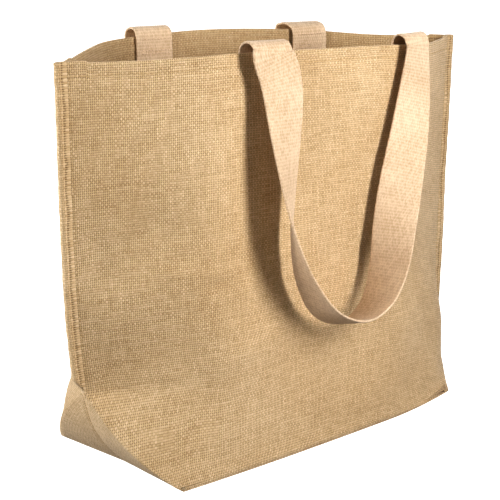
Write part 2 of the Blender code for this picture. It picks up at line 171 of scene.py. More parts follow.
# Front handle where it hangs, a row per place along it: the middle of the webbing, the turn
# of its width about Z in degrees (0 outer edge to the left, 90 to the front, 180 to the
# right), and the lift of its front edge in degrees where it lies across.
FRONT_HANG = (
    (-66, -77, 334, -12, 0),
    (-61, -79, 318, -13, 0),
    (-58.7, -81, 298, -6, 0),
    (-58.3, -84, 262, 14, 0),
    (-58, -88, 222, 36, 0),
    (-56.5, -92, 190, 54, 3),
    (-47.5, -96, 154, 72, 8),
    (-26, -98, 122, 84, 13),
    (6, -98.5, 108.5, 90, 14),
    (34, -98, 120, 96, 12),
    (51, -96, 148, 107, 8),
    (61, -92, 182, 124, 3),
    (72.5, -88, 219, 146, 0),
    (87, -83.5, 262, 165, 0),
    (97.5, -79, 302, 182, 0),
    (102.5, -76.5, 331, 194, 0),
)
REAR_HANG = (
    (-75, 83, 335, -4, 0),
    (-69, 88, 300, -14, 0),
    (-64, 92, 262, -29, 0),
    (-59, 96, 222, -43, 0),
    (-53, 100, 188, -58, -3),
    (-41, 102.5, 153, -74, -8),
    (-16, 104, 121, -86, -12),
    (14, 104, 109, -90, -12),
    (43, 103.5, 121, -95, -10),
    (64, 102, 152, -108, -6),
    (77, 99, 186, -124, -3),
    (86, 95, 222, -139, 0),
    (93, 91, 262, -153, 0),
    (97, 87, 300, -166, 0),
    (99, 82, 328, -176, 0),
)
SEWN_DEPTH = 40
ARCH_RISE = {"front": 9, "back": 6.5}
ARCH_SHAPE = 0.8
ARCH_SETTLE = 3
ARCH_STEPS = 6
SEWN_DROPS = (SEWN_DEPTH, SEWN_DEPTH * 0.55, 12, 3)

# ---- fineness of the visual cloth ----
PANEL_STEPS = 160
SEAM_STEPS = 32
LEVEL_STEP = 2.5
INNER_EVERY = 2
TOP_LEVELS = (346.6, 347.5)
INNER_OFFSET_V = 2.1
ZONE_CROWDING = 1.35
FRONT_PART = slice(0, PANEL_STEPS + 1)
BACK_PART = slice(PANEL_STEPS + SEAM_STEPS, 2 * PANEL_STEPS + SEAM_STEPS + 1)
CROWN_ROWS = ((0.25, 0.25), (0.5, 0.4), (0.75, 0.25))
CROWN_SEAM = 0.6
CROWN_OUTSIDE = 2
BASE_FOLLOW = 3
LAP_LEVELS = 6
# places across a panel and across a seam zone, where they are closer together at its middle
ALONG = np.linspace(-1.0, 1.0, PANEL_STEPS + 1)
SPREAD = np.linspace(-1.0, 1.0, SEAM_STEPS + 1)
ZONE = 0.5 + 0.5 * np.sign(SPREAD) * np.abs(SPREAD) ** ZONE_CROWDING
BETWEEN = ZONE[1:-1]
# points of a ring that lie strictly between the panels
RIGHT_SLOTS = list(range(PANEL_STEPS + 1, PANEL_STEPS + SEAM_STEPS))
LEFT_SLOTS = [k + PANEL_STEPS + SEAM_STEPS for k in RIGHT_SLOTS]
SEAM_SLOTS = (RIGHT_SLOTS, LEFT_SLOTS)

# ---- relief of the sewn cloth, in millimetres ----
RELIEF = 0.55
RELIEF_SIZE = 34
PUCKER = 0.1
PUCKER_PITCH = 11
PUCKER_REACH = 9
HEM_STITCH_DROP = 10
HEM_GROOVE = 0.5
SEAM_GROOVE = 1
CORNER_LAP = 17
CORNER_LAP_RISE = 1.5
CORNER_LAP_SLOPE = 2
RELIEF_APART = 7
HEM_WAVE = 1.2
HEM_WIDE = 2
RELIEF_SEAM = 6
RELIEF_FLOOR = 8
SEAM_OPEN_FADE = 14
SEAM_WIDE = 2.2
BASE_GROOVE = 7
BASE_WIDE = 2.5
GROOVE_FADE = 8
SEAM_RIPPLES = ((0.015, 5.3), (0.02, 2.3))
WANDER = 0.2
WANDER_PITCH = 17


def smooth(t):
    """Ease from 0 to 1."""
    t = min(1.0, max(0.0, t))
    return t * t * (3.0 - 2.0 * t)


def on_line(at, keys, points):
    """Point, or points, at a place along a line of points."""
    return np.stack([np.interp(at, keys, points[:, k]) for k in range(3)], axis=-1)


def lengths(points):
    """Length of a line of points up to each of them."""
    return np.concatenate(([0.0], np.cumsum(norm(np.diff(points, axis=0), axis=1))))


def band(first, count):
    """Faces between a ring of points and the next one, from the ring's first point."""
    sides = [(k, (k + 1) % count) for k in range(count)]
    return [(first + a, first + b, first + count + b, first + count + a) for a, b in sides]


@functools.cache
def column(table, name):
    """Keys, values and slopes of a column, named in the first row of its table."""
    keys = np.array([row[0] for row in table[1:]])
    values = np.array([row[table[0].index(name)] for row in table[1:]])
    return keys, values, np.gradient(values, keys)


@functools.cache
def from_rows(table, name, at):
    """Smooth value of a named column of a table at a place along its first column."""
    keys, values, slopes = column(table, name)
    at = min(max(at, keys[0]), keys[-1])
    k = min(int(np.searchsorted(keys, at, side="right")) - 1, len(keys) - 2)
    gap = keys[k + 1] - keys[k]
    t = (at - keys[k]) / gap
    rest = 1.0 - t
    bulge = (slopes[k] * rest - slopes[k + 1] * t) * t * rest * gap
    blend = t * t * (3.0 - 2.0 * t)
    return float(values[k] * (1.0 - blend) + values[k + 1] * blend + bulge)


def words(face, side):
    """Names of a panel and of a side."""
    return ("front" if face < 0 else "back"), ("left" if side < 0 else "right")


def seam_point(side, height):
    """Stitch line of a side seam."""
    name = words(1, side)[1]
    x, z = (from_rows(SEAM_ROWS, name + end, height) for end in ("_x", "_z"))
    return np.array((x, 0.0, z))


def panel_end(face, side, height):
    """Where a panel ends: on the crease of the boxed corner, or on the side seam."""
    half = np.array((0.0, face * FIN_THICK / 2, 0.0))
    if height >= HALF_DEPTH:
        return seam_point(side, height) + half
    (x, y), bow = BASE_CORNERS[words(face, side)]
    t = height / HALF_DEPTH
    line = np.array((x, y, 0.0)) * (1 - t) + (seam_point(side, HALF_DEPTH) + half) * t
    return line + np.array(bow) * sin(pi * t)


def fold_rise(face, u, height):
    """Height of the soft folds off the smooth cloth, along a level."""
    name = words(face, -1)[0]
    total = np.zeros(len(u))
    for panel, u0, h0, u1, h1, width, rise in FOLD_ROWS:
        if panel == name:
            du = u1 - u0
            dh = h1 - h0
            t = np.clip(((u - u0) * du + (height - h0) * dh) / (du * du + dh * dh), 0.0, 1.0)
            off = np.hypot(u - u0 - t * du, height - h0 - t * dh)
            total += rise * np.exp(-((off / width) ** 2) * 2.0)
    return total


@functools.cache
def plain_curve(face, height):
    """One level of a panel without its folds: points and the flat place of each."""
    cut = max(0.0, HALF_DEPTH - height)
    half = FLAT_WIDTH / 2 - cut
    u = ALONG * half
    name = words(face, -1)[0]
    lift = min(1.0, height / HALF_DEPTH) ** TURN_BUILD
    flare = smooth(lift) * smooth(1.0 - (height - HALF_DEPTH) / FLARE_HEIGHT)
    angle = np.zeros(len(u))
    for side in (-1, 1):
        word = words(face, side)[1]
        turn = radians(from_rows(TURN_ROWS, name + "_" + word, height))
        reach = from_rows(TURN_ROWS, name + "_" + word + "_in", height)
        inside = 0.5 * (1 + np.tanh((FLAT_WIDTH / 2 - side * u - reach) / TURN_SOFTNESS))
        beside = np.exp(-(((half - side * u) / FLARE_REACH) ** 2))
        extra = radians(SIDE_FLARE[(name, word)]) * flare
        angle -= side * (turn * lift * (1 - inside) + extra * beside)
    step = np.diff(u)
    middle = (angle[1:] + angle[:-1]) / 2
    x = np.concatenate(([0.0], np.cumsum(np.cos(middle) * step)))
    y = face * np.concatenate(([0.0], np.cumsum(np.sin(middle) * step)))
    start = panel_end(face, -1, height)
    end = panel_end(face, 1, height)
    turn = atan2(end[1] - start[1], end[0] - start[0]) - atan2(y[-1], x[-1])
    grow = hypot(*(end - start)[:2]) / hypot(x[-1], y[-1])
    px = start[0] + grow * (x * cos(turn) - y * sin(turn))
    py = start[1] + grow * (x * sin(turn) + y * cos(turn))
    bow = BASE_BOW[name] * (1 - smooth(height / BASE_BOW_HEIGHT))
    py += face * bow * (1 - ALONG ** 2) * (1 + 2 * BASE_BOW_MIDDLE * ALONG)
    ends = start[2] * (1 - ALONG) / 2 + end[2] * (1 + ALONG) / 2
    edge = np.abs(ALONG) ** SEAM_DROP_SHARPNESS
    pz = height * WALL_LEAN * (1 - edge) + ends * edge
    return np.stack((px, py, pz), axis=1), u


@functools.cache
def panel_curve(face, height):
    """One level of a panel, left to right, with its flat coordinate for each point."""
    plain, u = plain_curve(face, height)
    points = plain.copy()
    ease = smooth(height / SOFTEN_IN) * smooth((SOFTEN_TOP - height) / SOFTEN_OUT)
    if ease > 0.0:
        near = [max(0.0, height + gap) for gap in SOFTEN_GAPS]
        level = sum(plain_curve(face, h)[0][:, 1] for h in near) / len(near)
        points[:, 1] += (level - points[:, 1]) * ease * (1 - np.abs(ALONG) ** SOFTEN_SHARPNESS)
    name = words(face, -1)[0]
    rim = max(0.0, (height - HALF_DEPTH) / (CLOTH_HEIGHT - HALF_DEPTH))
    places = np.linspace(-1.0, 1.0, RIM_SAMPLES)
    sag = [from_rows(RIM_ROWS, name, float(place)) for place in places]
    points[:, 2] -= np.interp(ALONG, places, sag) * rim
    tangent = np.gradient(points[:, :2], axis=0)
    tangent /= norm(tangent, axis=1)[:, None]
    fade = smooth(height / FOLD_FLOOR_FADE) * smooth((CLOTH_HEIGHT - height) / FOLD_RIM_FADE)
    rise = fold_rise(face, u, height) * fade
    rise *= np.minimum(1.0, (1 - np.abs(ALONG)) * FOLD_SEAM_FADE)
    rise += relief(face, u, height)
    points[:, 0] -= face * tangent[:, 1] * rise
    points[:, 1] += face * tangent[:, 0] * rise
    return points, u


def relief(face, u, height):
    """Slight unevenness of sewn jute: soft dents all over and pucker along the stitching."""
    out = np.zeros(len(u))
    for k, value in enumerate(u):
        place = Vector((value / RELIEF_SIZE, height / RELIEF_SIZE, RELIEF_APART * face))
        out[k] = RELIEF * noise.fractal(place, 1.0, 2.0, 3)
    near_seam = np.exp(-(((FLAT_WIDTH / 2 - np.abs(u)) / PUCKER_REACH) ** 2))
    out += PUCKER * near_seam * cos(2 * pi * height / PUCKER_PITCH)
    drop = CLOTH_HEIGHT - HEM_STITCH_DROP - height
    near_hem = exp(-((drop / PUCKER_REACH) ** 2))
    wave = np.cos(2 * pi * u / (PUCKER_PITCH * HEM_WAVE))
    groove = HEM_GROOVE * exp(-((drop / HEM_WIDE) ** 2))
    out += near_hem * (0.5 * PUCKER * wave) - groove
    edge = np.clip((FLAT_WIDTH / 2 - np.abs(u)) / RELIEF_SEAM, 0.0, 1.0)
    crease = 1.0 if height >= HALF_DEPTH else smooth(height / HALF_DEPTH * 2)
    return out * edge * smooth(height / RELIEF_FLOOR) * crease


def seam_zone(side, height, outer):
    """Points between the front and the back panel on one side, front to back."""
    front = panel_end(-1, side, height)
    back = panel_end(1, side, height)
    steps = BETWEEN
    tuck = SIDE_TUCK[words(1, side)[1]] * max(0.0, 1 - height / HALF_DEPTH)
    fin = smooth((height - HALF_DEPTH) / FIN_FADE)
    points = front[None, :] * (1 - steps[:, None]) + back[None, :] * steps[:, None]
    points[:, 0] -= side * tuck * (1 - np.abs(2 * steps - 1))
    if not outer:
        return points
    across = norm(back - front) * (steps - 0.5)
    open_side = smooth((HALF_DEPTH - height) / SEAM_OPEN_FADE)
    dip = SEAM_GROOVE * np.exp(-((across / SEAM_WIDE) ** 2)) * open_side
    from_base = (height - BASE_GROOVE) / BASE_WIDE
    dip = dip + SEAM_GROOVE * exp(-(from_base ** 2)) * open_side
    points[:, 0] -= side * dip * np.minimum(1.0, (1 - np.abs(2 * steps - 1)) * GROOVE_FADE)
    reach = np.sin(pi * steps) ** FIN_ROUNDNESS
    reach = np.minimum(reach, np.where(np.abs(steps - 0.5) > FIN_CORE, FIN_SHOULDER, 1.0))
    ripple = 1.0
    for size, pitch in SEAM_RIPPLES:
        ripple += size * sin(height / pitch)
    points[:, 0] += side * FIN_WIDTH * fin * reach * ripple
    widen = FIN_THICK / 2 * FIN_TAPER * np.tanh((steps - 0.5) * FIN_STEEP)
    wander = WANDER * sin(height / WANDER_PITCH + side) * fin
    points[:, 1] += (widen - points[:, 1]) * fin + wander
    return points


@functools.cache
def ring(height, outer):
    """Closed level of cloth: front, right side, back, left side."""
    front = panel_curve(-1, height)[0]
    back = panel_curve(1, height)[0]
    right = seam_zone(1, height, outer)
    left = seam_zone(-1, height, outer)
    return np.concatenate((front, right, back[::-1], left[::-1]))


def ring_flat(height):
    """Flat coordinate across the cloth at both ends of each step round a level."""
    half = FLAT_WIDTH / 2
    cut = max(0.0, HALF_DEPTH - height)
    fin = smooth((height - HALF_DEPTH) / FIN_FADE) * FIN_WIDTH
    u = ALONG * (half - cut)
    steps = BETWEEN
    size = half - cut + (cut + fin) * (1 - np.abs(2 * steps - 1))
    middle = (SEAM_STEPS - 2) // 2
    front_half = np.arange(len(steps)) <= middle
    right = np.where(front_half, size, FLAT_WIDTH - size)
    left = np.where(front_half, -size, FLAT_WIDTH + size)[::-1]
    start = np.concatenate((u, right, FLAT_WIDTH + u, left))
    end = np.roll(start, -1)
    right_middle = PANEL_STEPS + 1 + middle
    left_middle = 2 * (PANEL_STEPS + len(steps)) + 1 - middle
    start[right_middle] = FLAT_WIDTH - size[middle]
    end[left_middle - 1] = FLAT_WIDTH + size[middle]
    return start, end


def shrink(points, amount):
    """Move a closed level inwards by an amount, mitred at its corners."""
    xy = points[:, :2]
    ahead = np.roll(xy, -1, axis=0) - xy
    ahead /= np.maximum(norm(ahead, axis=1), 1e-9)[:, None]
    behind = np.roll(ahead, 1, axis=0)
    normal_a = np.stack((-ahead[:, 1], ahead[:, 0]), axis=1)
    normal_b = np.stack((-behind[:, 1], behind[:, 0]), axis=1)
    mean = normal_a + normal_b
    mean /= np.maximum(norm(mean, axis=1), 1e-9)[:, None]
    spread = np.maximum(np.sum(mean * normal_a, axis=1), MITRE_LIMIT)
    moved = points.copy()
    moved[:, :2] += mean * (amount / spread)[:, None]
    return moved


def inner_ring(height):
    """Inside face of the cloth at a level."""
    plain = ring(height, False)
    hem = HEM_EXTRA * smooth((height - (CLOTH_HEIGHT - HEM_HEIGHT)) / HEM_STEP)
    moved = shrink(plain, CLOTH + hem)
    if height < HALF_DEPTH:
        return moved
    for slots in SEAM_SLOTS:
        before = moved[slots[0] - 1]
        after = moved[(slots[-1] + 1) % len(moved)]
        part = BETWEEN[:, None]
        moved[slots] = before * (1 - part) + after * part
    return moved


def lifted(points):
    """Share of the lift of the base corner that is off the floor, for each point."""
    away = norm(points[:, :2] - np.array(LIFTED_CORNER), axis=1)
    return np.clip(1 - away / CORNER_LIFT_REACH, 0.0, 1.0) ** 2


def cloth_levels(heights, outer):
    """All levels of one face of the cloth, from the floor to the rim, with their heights."""
    make = (lambda h: ring(h, True)) if outer else inner_ring
    flat = ring(0.0, False) if outer else inner_ring(0.0)
    rise = 0.0 if outer else CLOTH
    lift = lifted(flat)
    low = shrink(flat, FLOOR_INSET)
    low[:, 2] = rise + CORNER_LIFT * lift
    edge = shrink(flat, EDGE_INSET)
    edge[:, 2] = low[:, 2] + EDGE_RISE
    levels = [(-FLOOR_INSET, low), (EDGE_HEIGHT, edge)]
    for height in heights:
        level = make(height).copy()
        level[:, 2] = np.maximum(level[:, 2], levels[-1][1][:, 2] + LEAST_RISE)
        levels.append((height, level))
    return levels


def lap(level):
    """Raise the rim where the side seam is folded into the hem."""
    u = ALONG * FLAT_WIDTH / 2
    inside = np.abs(u) - FLAT_WIDTH / 2 + CORNER_LAP
    rise = CORNER_LAP_RISE * np.clip(inside / CORNER_LAP_SLOPE, 0, 1)
    level = level.copy()
    level[FRONT_PART, 2] += rise
    level[BACK_PART, 2] += rise
    for slots in SEAM_SLOTS:
        level[slots, 2] += CORNER_LAP_RISE
    return level


def base_grid(level):
    """Rows of points between the front and the back edge of a base."""
    front = level[FRONT_PART]
    back = level[BACK_PART][::-1]
    across = np.linspace(0.0, 1.0, PANEL_STEPS + 1)[:, None]
    rows = []
    for k, part in enumerate(BETWEEN):
        line = front * (1 - part) + back * part
        west = level[LEFT_SLOTS[-1 - k]] - line[0]
        east = level[RIGHT_SLOTS[k]] - line[-1]
        line = line + west * (1 - across) ** BASE_FOLLOW + east * across ** BASE_FOLLOW
        line[:, 2] = level[:, 2].min() + CORNER_LIFT * lifted(line)
        rows.append(line)
    return rows


def new_object(name, points, faces, uvs, material):
    """Object from points in millimetres, faces and a UV for each face corner in metres."""
    mesh = bpy.data.meshes.new(name)
    placed = (np.asarray(points) - ORIGIN) * MM
    mesh.from_pydata(placed.tolist(), [], faces)
    if uvs is not None:
        layer = mesh.uv_layers.new(name="cloth")
        layer.data.foreach_set("uv", (np.asarray(uvs, dtype=float) * MM).ravel())
    mesh.polygons.foreach_set("use_smooth", [True] * len(mesh.polygons))
    thing = bpy.data.objects.new(name, mesh)
    scene.collection.objects.link(thing)
    mesh.materials.append(material)
    return thing


def build_body(cloth):
    """The sewn bag as one closed sheet: outside, rim, inside and both faces of the base."""
    heights = [LEVEL_STEP * k for k in range(2, int(TOP_LEVELS[0] / LEVEL_STEP) + 1)]
    outer = cloth_levels(heights + list(TOP_LEVELS), True)
    inner = cloth_levels(heights[::INNER_EVERY] + [TOP_LEVELS[0]], False)
    crest_out = ring(CLOTH_HEIGHT, True)
    crest_in = inner_ring(CLOTH_HEIGHT)
    crown = []
    for part, rise in CROWN_ROWS:
        level = crest_out * (1 - part) + crest_in * part
        for slots in SEAM_SLOTS:
            level[slots] = (crest_out[slots] * (1 - part * CROWN_SEAM)
                            + crest_in[slots] * part * CROWN_SEAM)
        level[:, 2] += rise
        crown.append((CLOTH_HEIGHT + rise, lap(level)))
    outer[-LAP_LEVELS:] = [(h, lap(level)) for h, level in outer[-LAP_LEVELS:]]
    inner_up = inner[::-1]
    inner_up[0] = (inner_up[0][0], lap(inner_up[0][1]))
    levels = outer + crown + inner_up
    split = len(outer) + CROWN_OUTSIDE
    count = len(crest_out)
    points = np.concatenate([level for _, level in levels])
    faces, uvs = [], []
    for row in range(len(levels) - 1):
        low_start, low_end = ring_flat(levels[row][0])
        high_start, high_end = ring_flat(levels[row + 1][0])
        shift = 0.0 if row < split else INNER_OFFSET_V / MM
        low = levels[row][0] + shift
        high = levels[row + 1][0] + shift
        faces += band(row * count, count)
        for place in range(count):
            uvs += [(low_start[place], low), (low_end[place], low),
                    (high_end[place], high), (high_start[place], high)]
    u = ALONG * BASE_WIDTH / 2
    for row, way in ((0, -1), (len(levels) - 1, 1)):
        level = levels[row][1]
        inside = base_grid(level)
        first = len(points)
        points = np.concatenate([points] + [line[1:-1] for line in inside])
        wide = PANEL_STEPS - 1
        base = row * count
        grid = [[base + k for k in range(PANEL_STEPS + 1)]]
        for k in range(len(inside)):
            middle = [first + k * wide + m for m in range(wide)]
            grid.append([base + LEFT_SLOTS[-1 - k]] + middle + [base + RIGHT_SLOTS[k]])
        back = base + PANEL_STEPS + SEAM_STEPS
        grid.append([back + k for k in range(PANEL_STEPS, -1, -1)])
        depth = -ZONE * BASE_DEPTH + (0.0 if way < 0 else INNER_OFFSET_V / MM)
        for k in range(len(grid) - 1):
            for m in range(PANEL_STEPS):
                corners = [(k, m), (k, m + 1), (k + 1, m + 1), (k + 1, m)][::way]
                faces.append(tuple(grid[a][b] for a, b in corners))
                uvs += [(u[b], depth[a]) for a, b in corners]
    return new_object("cloth_bag", points, faces, uvs, cloth)


def wall_frame(face, x, height):
    """Inside of the hem at a place: point, way along, way in, and how far in the hem reaches."""
    level = inner_ring(height)
    panel = level[FRONT_PART] if face < 0 else level[BACK_PART][::-1]
    order = panel[:, 0]
    reach = WEB_WIDTH / 2
    low, high, middle = (on_line(place, order, panel) for place in (x - reach, x + reach, x))
    along = high - low
    along[2] = 0.0
    along /= norm(along)
    inward = np.array((along[1], -along[0], 0.0)) * face
    inside = panel[np.abs(order - x) < reach + WEB_MARGIN]
    most = max(float(np.dot(p[:2] - middle[:2], inward[:2])) for p in inside)
    return middle, along, inward, most


def handle_stations(face, hang):
    """Middle points and width directions of a handle from one sewn end to the other."""
    stations = []
    rise = ARCH_RISE[words(face, 1)[0]]
    for end_row, way in ((hang[0], 1), (hang[-1], -1)):
        x = end_row[0]
        part = []
        for drop in SEWN_DROPS:
            point, along, inward, most = wall_frame(face, x, CLOTH_HEIGHT - drop)
            middle = point + inward * (most + WEB_GAP + WEB_THICK / 2)
            part.append((middle, -along * way))
        rim, along, inward, most = wall_frame(face, x, CLOTH_HEIGHT)
        start = part[-1][0]
        finish = np.array(end_row[:3])
        for count in range(1, ARCH_STEPS):
            angle = pi * count / ARCH_STEPS
            across = (1 - cos(angle)) / 2
            point = start * (1 - across) + finish * across
            point[2] = rim[2] + rise * sin(angle) ** ARCH_SHAPE
            point[2] -= (1 - sin(angle)) * ARCH_SETTLE
            part.append((point, -along * way))
        stations.append(part)
    middle = []
    for x, y, z, turn, lift in hang:
        angle = radians(turn)
        edge = np.array((-cos(angle), -sin(angle), sin(radians(lift))))
        middle.append((np.array((x, y, z)), edge / norm(edge)))
    return stations[0] + middle + stations[1][::-1]


def curve_through(values, steps):
    """Smooth run of points through given ones (Catmull-Rom)."""
    values = [np.asarray(v, dtype=float) for v in values]
    padded = [2 * values[0] - values[1]] + values + [2 * values[-1] - values[-2]]
    run = []
    for k in range(1, len(padded) - 2):
        for count in range(steps):
            t = count / steps
            a, b, c, d = padded[k - 1:k + 3]
            run.append(0.5 * (2 * b + (c - a) * t + (2 * a - 5 * b + 4 * c - d) * t ** 2
                              + (3 * b - a - 3 * c + d) * t ** 3))
    run.append(values[-1])
    return run


# ---- webbing, in millimetres ----
RIB_PITCH = 2.7
RIB_STEPS = 2
COLUMN_COUNT = 32
COLUMN_STEPS = 2
RIB_RISE = 0.3
SELVEDGE = 1.3
SELVEDGE_IN = 0.5
SELVEDGE_HALF = 0.45
SELVEDGE_LAP = 0.9
RUN_STEPS = 24
RIB_LEVEL = 0.25
FRAY_REACH = 1.0
FRAY_SHARE = 0.6
# waves of the selvedge: size, radians a millimetre, and how far face turns them
FRAY = ((0.12, 2.1, 1.0), (0.1, 0.77, 0.0))


def even_run(face, hang):
    """Centre line, width direction and outward direction at even steps along a handle."""
    stations = handle_stations(face, hang)
    centres = np.array(curve_through([s[0] for s in stations], RUN_STEPS))
    edges = np.array(curve_through([s[1] for s in stations], RUN_STEPS))
    gone = lengths(centres)
    total = gone[-1]
    steps = int(round(total / RIB_PITCH)) * RIB_STEPS
    at = np.linspace(0.0, total, steps + 1)
    centre = on_line(at, gone, centres)
    edge = on_line(at, gone, edges)
    ahead = np.gradient(centre, axis=0)
    ahead /= norm(ahead, axis=1)[:, None]
    wide = edge - ahead * np.sum(edge * ahead, axis=1)[:, None]
    wide /= norm(wide, axis=1)[:, None]
    return at, centre, wide, np.cross(ahead, wide)


def build_handle(name, face, hang, cotton):
    """Ribbed webbing swept along its run, with a checker of raised threads on both faces."""
    at, centre, wide, out = even_run(face, hang)
    half = WEB_WIDTH / 2
    thin = WEB_THICK / 2 - RIB_RISE
    across = np.linspace(SELVEDGE_IN - half, half - SELVEDGE_IN, COLUMN_COUNT * COLUMN_STEPS + 1)
    top = [(a, 1.0) for a in across]
    bottom = [(a, -1.0) for a in across[::-1]]
    right = [(half, SELVEDGE_HALF), (half, -SELVEDGE_HALF)]
    left = [(-half, -SELVEDGE_HALF), (-half, SELVEDGE_HALF)]
    section = top + right + bottom + left
    places = np.array(section)
    column = np.cos(pi * (places[:, 0] + half) / (WEB_WIDTH / COLUMN_COUNT))
    flat = np.minimum(1.0, (half - np.abs(places[:, 0])) / SELVEDGE)
    at_edge = np.abs(places[:, 0]) > half - FRAY_REACH
    points = []
    for k in range(len(at)):
        row = cos(pi * at[k] / RIB_PITCH)
        fray = sum(size * sin(at[k] * rate + face * turn) for size, rate, turn in FRAY)
        relief_here = RIB_RISE * (RIB_LEVEL + column * row * places[:, 1]) * flat
        through = places[:, 1] * (thin + relief_here)
        side = places[:, 0] * (1.0 + at_edge * fray / half * FRAY_SHARE)
        points.append(centre[k] + wide[k] * side[:, None] + out[k] * through[:, None])
    count = len(section)
    points = np.concatenate(points)
    girth = np.concatenate(([0.0], np.cumsum(
        np.hypot(np.diff(places[:, 0]), np.diff(places[:, 1])))))
    girth = np.append(girth, girth[-1] + SELVEDGE_LAP) - half
    faces, uvs = [], []
    for k in range(len(at) - 1):
        faces += band(k * count, count)
        for place in range(count):
            uvs += [(girth[place], at[k]), (girth[place + 1], at[k]),
                    (girth[place + 1], at[k + 1]), (girth[place], at[k + 1])]
    for row, way in ((0, -1), (len(at) - 1, 1)):
        corners = [row * count + place for place in range(count)][::way]
        faces.append(tuple(corners))
        uvs += [(girth[c % count], at[row]) for c in corners]
    made = new_object(name, points, faces, uvs, cotton)
    shape = bmesh.new()
    shape.from_mesh(made.data)
    bmesh.ops.recalc_face_normals(shape, faces=shape.faces)
    shape.to_mesh(made.data)
    shape.free()
    return made, float(at[-1])


# ---- sewing, in millimetres ----
THREAD = 0.3
STITCH = 4.2
STITCH_GAP = 1.3
STITCH_START = 0.4
STITCH_SIDES = 6
STITCH_LIFT = 0.55
STITCH_SINK = 0.1
SEAM_INSET = 2.2
BAR_DROPS = (6.0, 9.5, 24.0, 27.5, SEWN_DEPTH - 4.0)
BAR_MARGIN = 3.0
BAR_POINTS = 12
BAR_PITCH = 3.4
BAR_THREAD = 0.4
BAR_SINK = 0.05
SEAM_STITCH_FROM = HALF_DEPTH + 10.0
SEAM_STITCH_TO = CLOTH_HEIGHT - 4.0
SEAM_SAMPLES = 110
HEM_INSET = 5.0
HEM_SAMPLES = 190
HEM_STITCH = STITCH * 1.1
NEAR = 2

# Rings of one stitch: place along it, share of the thread's thickness, and how far it dips.
STITCH_RINGS = (
    (0.0, 0.35, 0.5), (0.18, 0.9, 0.12), (0.5, 1.0, 0.0), (0.82, 0.9, 0.12), (1.0, 0.35, 0.5),
)


def circle(centre, first, second, size, sides):
    """Points of a ring round a centre, in the plane of two directions."""
    turns = [2 * pi * m / sides for m in range(sides)]
    return [centre + (first * cos(t) + second * sin(t)) * size for t in turns]


def tube_faces(first, rings, sides):
    """Faces of a closed tube whose rings of points follow on from a first point."""
    faces = []
    for k in range(rings - 1):
        faces += band(first + k * sides, sides)
    last = first + (rings - 1) * sides
    faces.append(tuple(range(first, first + sides))[::-1])
    faces.append(tuple(range(last, last + sides)))
    return faces


def stitch_row(places, normals, pitch, thread, sink):
    """Row of stitches lying along a line of places: points and faces of small capsules."""
    places = np.array(places)
    normals = np.array(normals)
    gone = lengths(places)
    points, faces = [], []
    start = STITCH_START
    while start + pitch - STITCH_GAP < gone[-1]:
        rings = []
        for part, size, drop in STITCH_RINGS:
            at = start + part * (pitch - STITCH_GAP)
            centre = on_line(at, gone, places)
            normal = on_line(at, gone, normals)
            normal /= norm(normal)
            rings.append((centre + normal * (thread * STITCH_LIFT - sink - thread * drop), normal,
                          thread * size))
        ahead = rings[-1][0] - rings[0][0]
        ahead /= norm(ahead)
        first = len(points)
        for centre, normal, size in rings:
            side = np.cross(ahead, normal)
            side /= norm(side)
            up = np.cross(side, ahead)
            points += circle(centre, side, up, size, STITCH_SIDES)
        faces += tube_faces(first, len(rings), STITCH_SIDES)
        start += pitch
    return points, faces


def join_rows(rows):
    """Several point and face lists as one."""
    points, faces = [], []
    for row_points, row_faces in rows:
        first = len(points)
        points += row_points
        faces += [tuple(first + k for k in face) for face in row_faces]
    return points, faces


def cloth_place(face, u, height):
    """Point on the outside of a panel and the way out of it there."""
    low = round((height - LEVEL_STEP) / LEVEL_STEP) * LEVEL_STEP
    high = low + LEVEL_STEP * 2
    rows = []
    for h in (low, high):
        points, flat = panel_curve(face, max(0.0, h))
        rows.append(on_line(u, flat, points))
    points, flat = panel_curve(face, low)
    across = on_line(u + NEAR, flat, points) - on_line(u - NEAR, flat, points)
    part = (height - low) / (high - low)
    normal = np.cross(across, rows[1] - rows[0]) * -face
    return rows[0] * (1 - part) + rows[1] * part, normal / norm(normal)


def line_on_cloth(face, start, end, steps):
    """Places and ways out along a straight line on the flat panel."""
    pairs = []
    for t in np.linspace(0.0, 1.0, steps):
        u, height = (a * (1 - t) + b * t for a, b in zip(start, end))
        pairs.append(cloth_place(face, u, height))
    return zip(*pairs)


def build_sewing(thread):
    """Stitch lines of the side seams and of the hem."""
    rows = []
    half = FLAT_WIDTH / 2
    for face in (-1, 1):
        for side in (-1, 1):
            u = side * (half - SEAM_INSET)
            line = line_on_cloth(face, (u, SEAM_STITCH_FROM), (u, SEAM_STITCH_TO), SEAM_SAMPLES)
            rows.append(stitch_row(*line, STITCH, THREAD, STITCH_SINK))
        hem = CLOTH_HEIGHT - HEM_STITCH_DROP
        line = line_on_cloth(face, (HEM_INSET - half, hem), (half - HEM_INSET, hem), HEM_SAMPLES)
        rows.append(stitch_row(*line, HEM_STITCH, THREAD, STITCH_SINK))
    points, faces = join_rows(rows)
    return new_object("bag_stitching", points, faces, None, thread)


def build_bar_stitches(name, face, hang, thread):
    """Stitch rows that hold each sewn end of a handle to the hem."""
    at, centre, wide, out = even_run(face, hang)
    reach = WEB_WIDTH / 2 - BAR_MARGIN
    rows = []
    inward = np.array((0.0, -face, 0.0))
    for begin, way in ((0.0, 1.0), (at[-1], -1.0)):
        for off in BAR_DROPS:
            k = int(np.argmin(np.abs(at - (begin + way * off))))
            sign = 1.0 if np.dot(out[k], inward) > 0 else -1.0
            normal = out[k] * sign
            level = centre[k] + normal * (WEB_THICK / 2)
            places = [level + wide[k] * s for s in np.linspace(-reach, reach, BAR_POINTS)]
            normals = [normal] * BAR_POINTS
            rows.append(stitch_row(places, normals, BAR_PITCH, BAR_THREAD, BAR_SINK))
    points, faces = join_rows(rows)
    return new_object(name, points, faces, None, thread)


